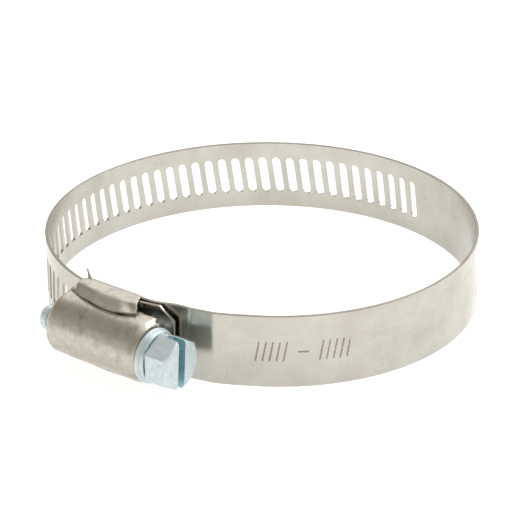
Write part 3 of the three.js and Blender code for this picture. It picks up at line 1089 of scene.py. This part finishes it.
def ear_rows(way):
    """Outer and inner rows of one ear and its half of the plate; way is 1 above and -1 below."""
    fold = SPLINE_STEPS * FOLD_POINT
    outer, inner = [], []
    for k in range(EAR_COLUMNS + 1):
        u = k / EAR_COLUMNS
        x_fold = SADDLE_START + (SADDLE_END - SADDLE_START) * u
        x_edge = EDGE_START + (EDGE_END - EDGE_START) * u
        path = resampled(ear_path(x_edge), fold, PLATE_STEPS, EAR_STEPS)
        normals = []
        for i, point in enumerate(path):
            before, after = path[max(0, i - 1)], path[min(len(path) - 1, i + 1)]
            along = (after - before).normalized()
            normals.append(Vector((along.y, -along.x)))
        out, ins = [], []
        for i, (point, normal) in enumerate(zip(path, normals)):
            skew = max(0.0, (i - PLATE_STEPS) / EAR_STEPS)
            trim = PLATE_TRIM * (1 - ramp(i, *TRIM_OVER)) * (1 - 2 * u)
            x = x_fold + (x_edge - x_fold) * skew + trim
            leaning_here = ramp(i, *LEAN_OVER) * (1 - ramp(i, *LEAN_UNTIL))
            sunk = -EAR_LEAN * ramp(-x, -1.0, 10.0) * leaning_here
            push = worn_dent(x, point.x) if i > DENTS_FROM else 0.0
            face = point + normal * push + Vector((0, sunk))
            thicker = (EAR_THICKNESS - SADDLE_THICKNESS) * ramp(i, *THICKEN_OVER)
            thickness = SADDLE_THICKNESS + thicker
            back = point - normal * thickness + Vector((0, sunk))
            out.append((x, face.x, SCREW_Z + way * face.y))
            ins.append((x, back.x, SCREW_Z + way * back.y))
        outer.append(out)
        inner.append(ins)
    return outer, inner


def add_burr(mesh):
    """A torn sliver of sheet left standing at the upper ear's corner."""
    made = loft(mesh, [[(x + half * share, y + dy, z + dz) for share, dy, dz in BURR_OUTLINE]
                       for (x, y, z), half in BURR_SECTIONS])
    mesh.faces.new(made[0])
    mesh.faces.new(made[-1])


def make_saddle():
    mesh = bmesh.new()
    for way in (1, -1):
        outer, inner = ear_rows(way)
        top = loft(mesh, outer, closed=False)
        under = loft(mesh, inner, closed=False)
        for k in (0, -1):
            bridge(mesh, top[k], under[k])
        bridge(mesh, [row[-1] for row in top], [row[-1] for row in under])
    add_burr(mesh)
    data = finished("saddle_ears", mesh, round_by=SHEET_ROUND)
    saddle = object_from("saddle_ears", data, housing_steel, "housing")
    weigh_normals(saddle)
    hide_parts("saddle")


# ---- worm screw

THREAD_ROOT, THREAD_CREST = 2.8, 3.7
THREAD_CREST_WIDTH, THREAD_ROOT_WIDTH = 0.5, 0.9
THREAD_START, THREAD_END = -10.0, 6.4
NECK_RADIUS = 2.6
TIP_RADIUS, TIP_END = 2.2, -14.85
COLLAR_START, COLLAR_STEP, COLLAR_RADIUS = 7.9, 0.75, 4.6
HEX_START, HEAD_END, ACROSS_FLATS = 9.4, 14.0, 8.0
HEX_NECK = 3.72
DRIVE_WIDTH, DRIVE_DEPTH, DRIVE_ANGLE = 1.6, 2.6, 85.0
CUTTER_REACH, CUTTER_BEVEL = 6.5, 0.12
THREAD_STEPS = 96
CORNER_SPREAD, FLAT_STEPS = 1.4, 13
CORNER_FLATTENING = 1.0
SCREW_SMOOTH = 30
STEP_X = COLLAR_START + COLLAR_STEP
# Turned parts of the screw, as (x, radius).
TIP_PROFILE = [
    (TIP_END, TIP_RADIUS - 0.5), (TIP_END + 0.12, TIP_RADIUS - 0.2), (TIP_END + 0.45, TIP_RADIUS),
    (-13.35, TIP_RADIUS), (-13.25, TIP_RADIUS - 0.3), (-12.75, TIP_RADIUS - 0.3),
    (-12.65, TIP_RADIUS + 0.1), (-12.5, NECK_RADIUS), (THREAD_START - 0.05, NECK_RADIUS)]
COLLAR_PROFILE = [
    (THREAD_END + 0.05, NECK_RADIUS), (COLLAR_START, NECK_RADIUS),
    (COLLAR_START, COLLAR_RADIUS - 0.16), (COLLAR_START + 0.05, COLLAR_RADIUS - 0.05),
    (COLLAR_START + 0.16, COLLAR_RADIUS), (STEP_X - 0.14, COLLAR_RADIUS),
    (STEP_X - 0.04, COLLAR_RADIUS - 0.05), (STEP_X, COLLAR_RADIUS - 0.14),
    (STEP_X, COLLAR_RADIUS - 0.26), (STEP_X + 0.05, COLLAR_RADIUS - 0.3),
    (HEX_START - 0.35, COLLAR_RADIUS - 0.3), (HEX_START - 0.1, COLLAR_RADIUS - 0.36),
    (HEX_START, COLLAR_RADIUS - 0.5)]
NECK_PROFILE = [(HEX_START, HEX_NECK + 0.12), (HEX_START + 0.04, HEX_NECK),
                (HEX_START + 0.26, HEX_NECK)]
# The hexagon's foot as (x, how much smaller than the full hexagon), then stations along it.
HEX_FOOT = [(HEX_START + 0.3, 0.12), (HEX_START + 0.36, 0.02), (HEX_START + 0.5, 0)]
HEX_LEVELS = [HEX_START + 0.8, 11.2, 12.3, 12.7, 13.0, 13.15, 13.3, 13.45, 13.6, 13.72, 13.84,
              13.93, HEAD_END]
# The chamfer round the head's end: how far its flat face is inset, the slope, and the soft rim.
FACE_INSET, CHAMFER_SLOPE, RIM_DEPTH, RIM_LENGTH = 0.22, 1.45, 0.05, 0.08


def ridge_phase():
    """Where along the axis the ridge faces the band: at the slot nearest the housing's middle."""
    middle = FEED_RADIUS * math.radians(TIP_DIRECTION - 270)
    slot = FIRST_SLOT + SLOT_PITCH * round((middle - FIRST_SLOT) / SLOT_PITCH)
    return raw_point(slot).x


def thread_radius(x, angle, phase):
    turns = (x - phase) / SLOT_PITCH - angle / (2 * math.pi)
    distance = abs(turns - round(turns)) * SLOT_PITCH
    slope = (THREAD_ROOT_WIDTH - THREAD_CREST_WIDTH) / 2
    height = held((THREAD_CREST_WIDTH / 2 + slope - distance) / slope)
    run_out = min(x - THREAD_START, THREAD_END - x) / (SLOT_PITCH / 2)
    return THREAD_ROOT + (THREAD_CREST - THREAD_ROOT) * height * held(run_out)


def hex_angles():
    """Angles round the head: closely placed at the six corners, and even along the flats."""
    angles = []
    for corner in range(6):
        middle = 60 * corner + 30
        angles += [middle - CORNER_SPREAD, middle, middle + CORNER_SPREAD]
        angles += [middle + CORNER_SPREAD + (60 - 2 * CORNER_SPREAD) * k / FLAT_STEPS
                   for k in range(1, FLAT_STEPS)]
    return [math.radians(angle) for angle in angles]


def hex_radius(angle):
    """Distance from the axis to the hexagon's outline, with its corners slightly flattened."""
    turn = (math.degrees(angle) - 30) % 60
    from_corner = max(min(turn, 60 - turn), CORNER_FLATTENING)
    return ACROSS_FLATS / 2 / math.cos(math.radians(30 - from_corner))


def screw_rings():
    """Rings of points along the whole screw, from its tip to the head's end."""
    angles = hex_angles()
    phase = ridge_phase()
    rings = []

    def ring(x, radius):
        rings.append([(x, SCREW_Y + radius(a) * math.cos(a), SCREW_Z + radius(a) * math.sin(a))
                      for a in angles])

    def turned(profile):
        for x, radius in profile:
            ring(x, lambda a: radius)

    turned(TIP_PROFILE)
    for k in range(THREAD_STEPS + 1):
        x = THREAD_START + (THREAD_END - THREAD_START) * k / THREAD_STEPS
        ring(x, lambda a: thread_radius(x, a, phase))
    turned(COLLAR_PROFILE)
    turned(NECK_PROFILE)
    for x, less in HEX_FOOT:
        ring(x, lambda a: hex_radius(a) - less)
    face = ACROSS_FLATS / 2 - FACE_INSET
    for x in HEX_LEVELS:
        cone = face + (HEAD_END - x) * CHAMFER_SLOPE
        soft = RIM_DEPTH * ramp(x, HEAD_END - RIM_LENGTH, HEAD_END)
        ring(x, lambda a: min(hex_radius(a), cone - soft))
    return rings


def cut_drive_slot(piece):
    """Cuts the driver slot across the head and gives its faces the darker recess material, as painted shade."""
    mesh = bmesh.new()
    half, deep = DRIVE_WIDTH / 2, HEAD_END - DRIVE_DEPTH
    turn = math.radians(DRIVE_ANGLE)
    across = Vector((0, math.cos(turn), math.sin(turn)))
    aside = Vector((0, -math.sin(turn), math.cos(turn)))
    middle = Vector((0, SCREW_Y, SCREW_Z))
    section = [(HEAD_END + 1, -half), (deep + CUTTER_BEVEL, -half), (deep, -half + CUTTER_BEVEL),
               (deep, half - CUTTER_BEVEL), (deep + CUTTER_BEVEL, half), (HEAD_END + 1, half)]
    rings = [[place(*(middle + across * end + aside * d + Vector((x, 0, 0))))
              for x, d in section] for end in (-CUTTER_REACH, CUTTER_REACH)]
    made = loft(mesh, rings)
    for ring in made:
        mesh.faces.new(ring)
    bmesh.ops.recalc_face_normals(mesh, faces=mesh.faces)
    cutter = add_object("drive_cutter", mesh_data("drive_cutter", mesh))
    cutter.data.materials.append(screw_recess_shade)
    modifier = piece.modifiers.new("drive_slot", "BOOLEAN")
    modifier.operation = "DIFFERENCE"
    modifier.solver = "EXACT"
    modifier.material_mode = "TRANSFER"
    modifier.object = cutter
    bpy.context.view_layer.update()
    shaped = bpy.data.meshes.new_from_object(
        piece.evaluated_get(bpy.context.evaluated_depsgraph_get()))
    piece.modifiers.clear()
    piece.data = shaped
    bpy.data.objects.remove(cutter)


def make_screw():
    mesh = bmesh.new()
    rings = loft(mesh, screw_rings())
    mesh.faces.new(rings[0])
    mesh.faces.new(rings[-1])
    data = finished("screw_body", mesh, smooth_to=SCREW_SMOOTH)
    piece = object_from("screw_body", data, screw_zinc, "screw")
    data.materials.append(screw_recess_shade)
    # The groove at the hex's foot takes the darker recess material: painted shade.
    root_low, root_high = place(HEX_START - 0.02, 0, 0).x, place(HEX_START + 0.32, 0, 0).x
    for face in data.polygons:
        if root_low < face.center.x < root_high:
            face.material_index = 1
    cut_drive_slot(piece)
    piece.data.set_sharp_from_angle(angle=math.radians(SCREW_SMOOTH))
    weigh_normals(piece)
    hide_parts("worm_screw")


# ---- build

make_camera()
make_studio()
make_band()
make_barrel()
make_saddle()
make_screw()
